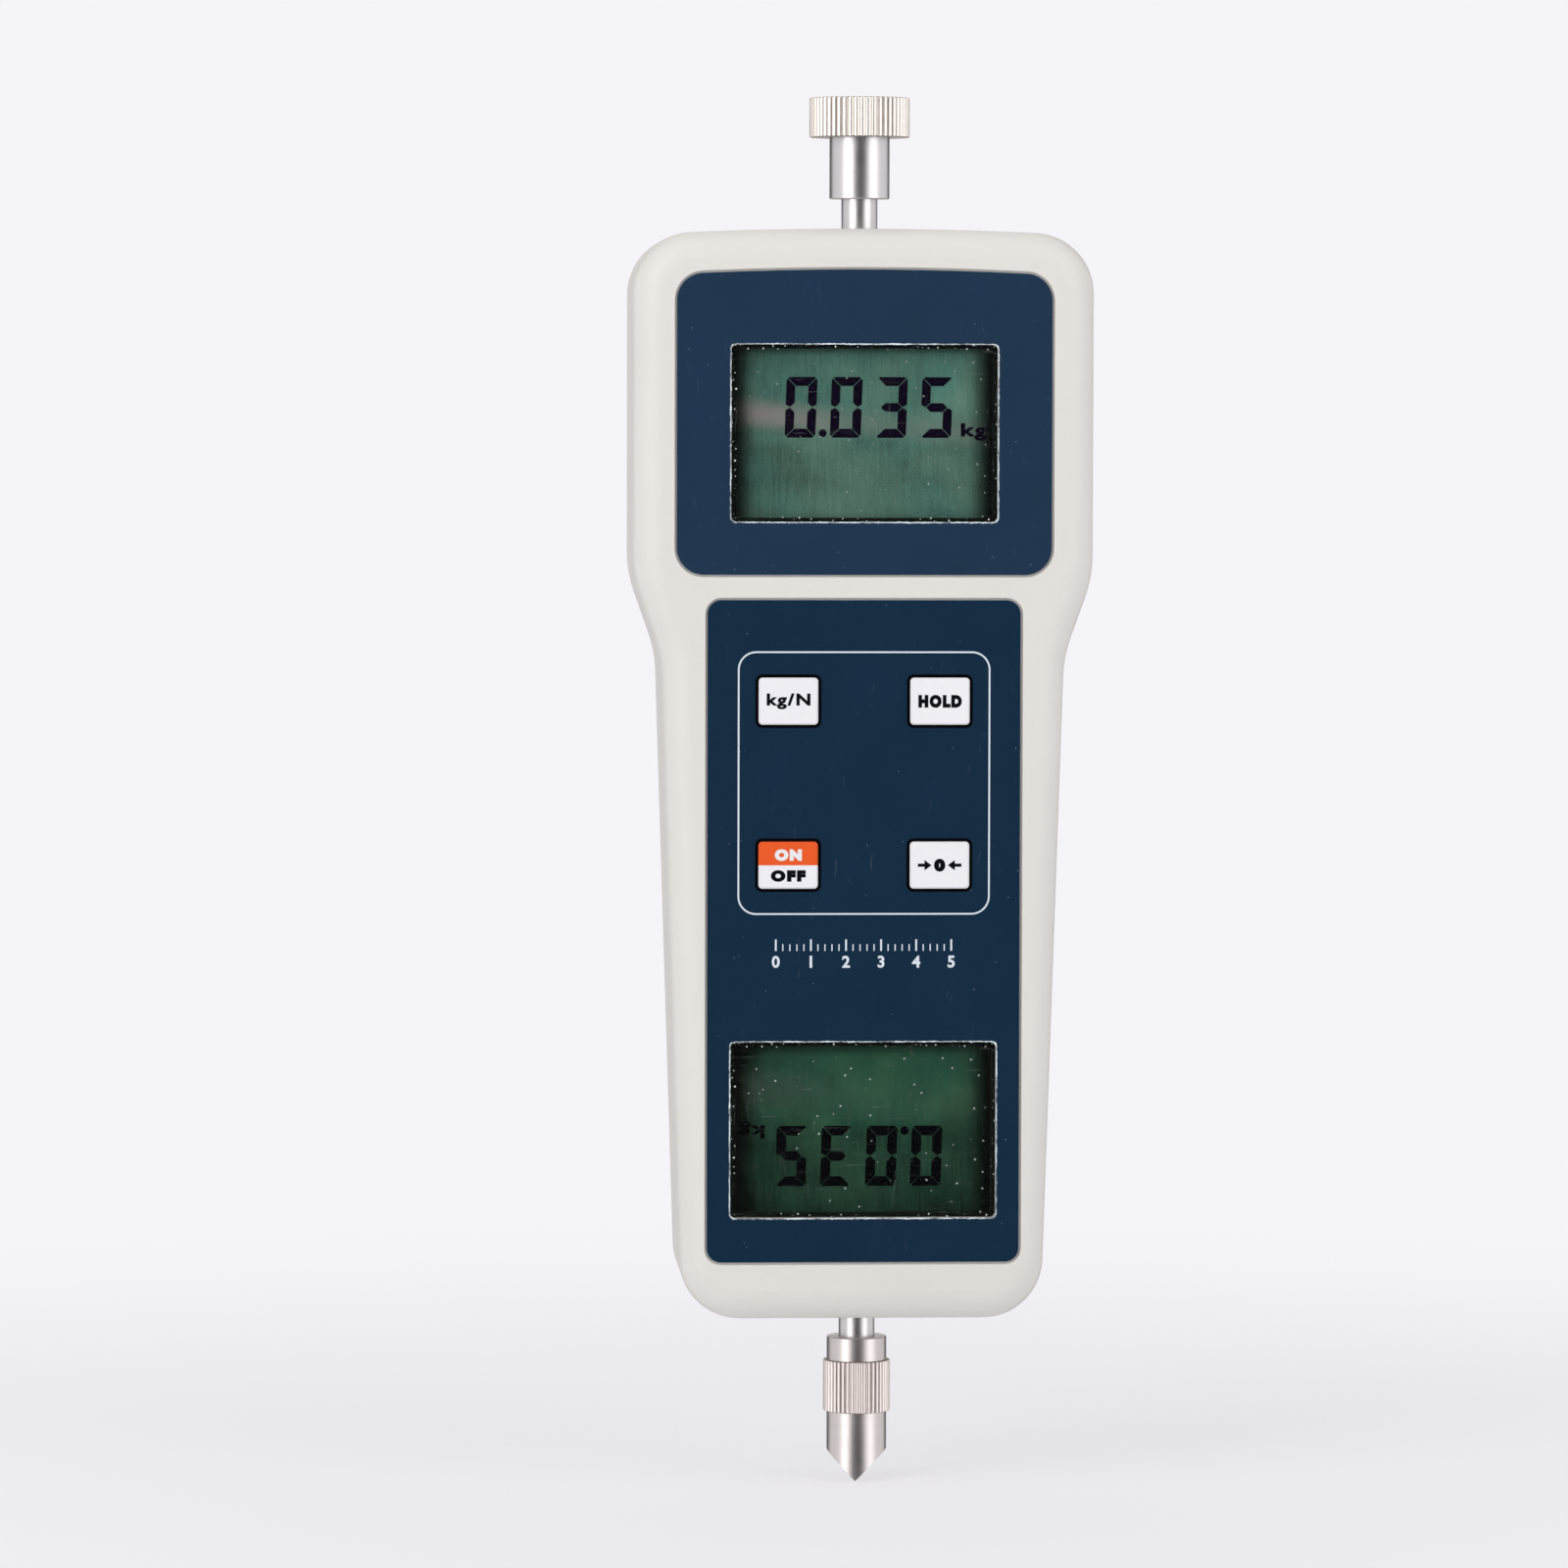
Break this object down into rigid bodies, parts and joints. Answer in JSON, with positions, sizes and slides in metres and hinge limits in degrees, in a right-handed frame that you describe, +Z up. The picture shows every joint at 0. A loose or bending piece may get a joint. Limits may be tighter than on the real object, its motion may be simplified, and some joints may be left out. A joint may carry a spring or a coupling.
{
  "type": "force gauge",
  "caption": "Hand-held digital force gauge with displays, keys, and a sensing spindle through both ends that carries a knurled flat head and a chisel tip.",
  "frame": {"origin": "centre of the four-hole stand pattern, on the flat back of the housing", "axes": "+Z up along the measuring axis towards the flat head, +Y out of the back, +X to the right seen from the front, which faces -Y"},
  "size_m": [0.0762, 0.0379, 0.2305],
  "materials": {
    "case_plastic": "light warm grey moulded plastic, satin",
    "label_film": "navy printed film, satin",
    "clear_window": "clear acrylic",
    "black_plastic": "black moulded plastic",
    "display_glass": "grey-green reflective display",
    "contact_rubber": "conductive rubber strip",
    "circuit_board": "green circuit board",
    "copper_foil": "copper foil on film",
    "ribbon": "flat flexible cable",
    "key_plastic": "white moulded plastic",
    "plunger_plastic": "black moulded plastic",
    "stainless": "turned stainless steel",
    "zinc_steel": "zinc-plated steel",
    "sensor_aluminium": "milled aluminium",
    "cast_aluminium": "machined casting",
    "bronze": "plain sintered bronze",
    "cell_jacket": "plain dark sleeve"
  },
  "bodies": {
    "case": {"front_case": "case_plastic", "rear_case": "case_plastic", "upper_label": "label_film", "lower_label": "label_film", "upper_lens": "clear_window", "lower_lens": "clear_window", "upper_display_frame": "black_plastic", "lower_display_frame": "black_plastic", "upper_display_glass": "display_glass", "lower_display_glass": "display_glass", "upper_contact_strips": "contact_rubber", "lower_contact_strips": "contact_rubber", "main_board": "circuit_board", "display_board": "circuit_board", "board_chips": "black_plastic", "ribbon_cable": "ribbon", "board_screws": "zinc_steel", "case_screws": "zinc_steel", "chassis_screws": "zinc_steel", "load_cell_bolts": "zinc_steel", "battery_contacts": "zinc_steel", "battery_leaves": "zinc_steel", "key_switches": "black_plastic", "data_socket": "black_plastic", "load_cell": "sensor_aluminium", "strain_gauges": "copper_foil", "chassis": "cast_aluminium", "upper_bush": "bronze", "lower_bush": "bronze", "battery_cells": "cell_jacket"},
    "spindle_unit": {"spindle": "stainless", "spindle_nuts": "zinc_steel"},
    "flat_head_unit": {"flat_head": "stainless"},
    "chisel_unit": {"chisel_tip": "stainless"},
    "battery_door_unit": {"battery_door": "case_plastic"},
    "key_unit_unit": {"key_unit": "key_plastic", "plunger_unit": "plunger_plastic"},
    "key_peak_unit": {"key_peak": "key_plastic", "plunger_peak": "plunger_plastic"},
    "key_power_unit": {"key_power": "key_plastic", "plunger_power": "plunger_plastic"},
    "key_zero_unit": {"key_zero": "key_plastic", "plunger_zero": "plunger_plastic"}
  },
  "joints": [
    {"name": "spindle_slide", "type": "slide", "parent": "case", "child": "spindle_unit", "axis": [0, 0, 1], "range_m": [-0.0003, 0.0003], "stiffness_N_per_m": 160000},
    {"name": "flat_head_turn", "type": "hinge", "parent": "spindle_unit", "child": "flat_head_unit", "pos_m": [0, -0.0205, 0.0905], "axis": [0, 0, 1], "range_deg": [0, 180]},
    {"name": "chisel_turn", "type": "hinge", "parent": "spindle_unit", "child": "chisel_unit", "pos_m": [0, -0.0205, -0.11], "axis": [0, 0, -1], "range_deg": [0, 180]},
    {"name": "battery_door_open", "type": "hinge", "parent": "case", "child": "battery_door_unit", "pos_m": [0, 0, -0.0284], "axis": [1, 0, 0], "range_deg": [0, 75]},
    {"name": "key_unit_press", "type": "slide", "parent": "case", "child": "key_unit_unit", "axis": [0, 1, 0], "range_m": [0, 0.0003], "stiffness_N_per_m": 5300},
    {"name": "key_peak_press", "type": "slide", "parent": "case", "child": "key_peak_unit", "axis": [0, 1, 0], "range_m": [0, 0.0003], "stiffness_N_per_m": 5300},
    {"name": "key_power_press", "type": "slide", "parent": "case", "child": "key_power_unit", "axis": [0, 1, 0], "range_m": [0, 0.0003], "stiffness_N_per_m": 5300},
    {"name": "key_zero_press", "type": "slide", "parent": "case", "child": "key_zero_unit", "axis": [0, 1, 0], "range_m": [0, 0.0003], "stiffness_N_per_m": 5300}
  ]
}
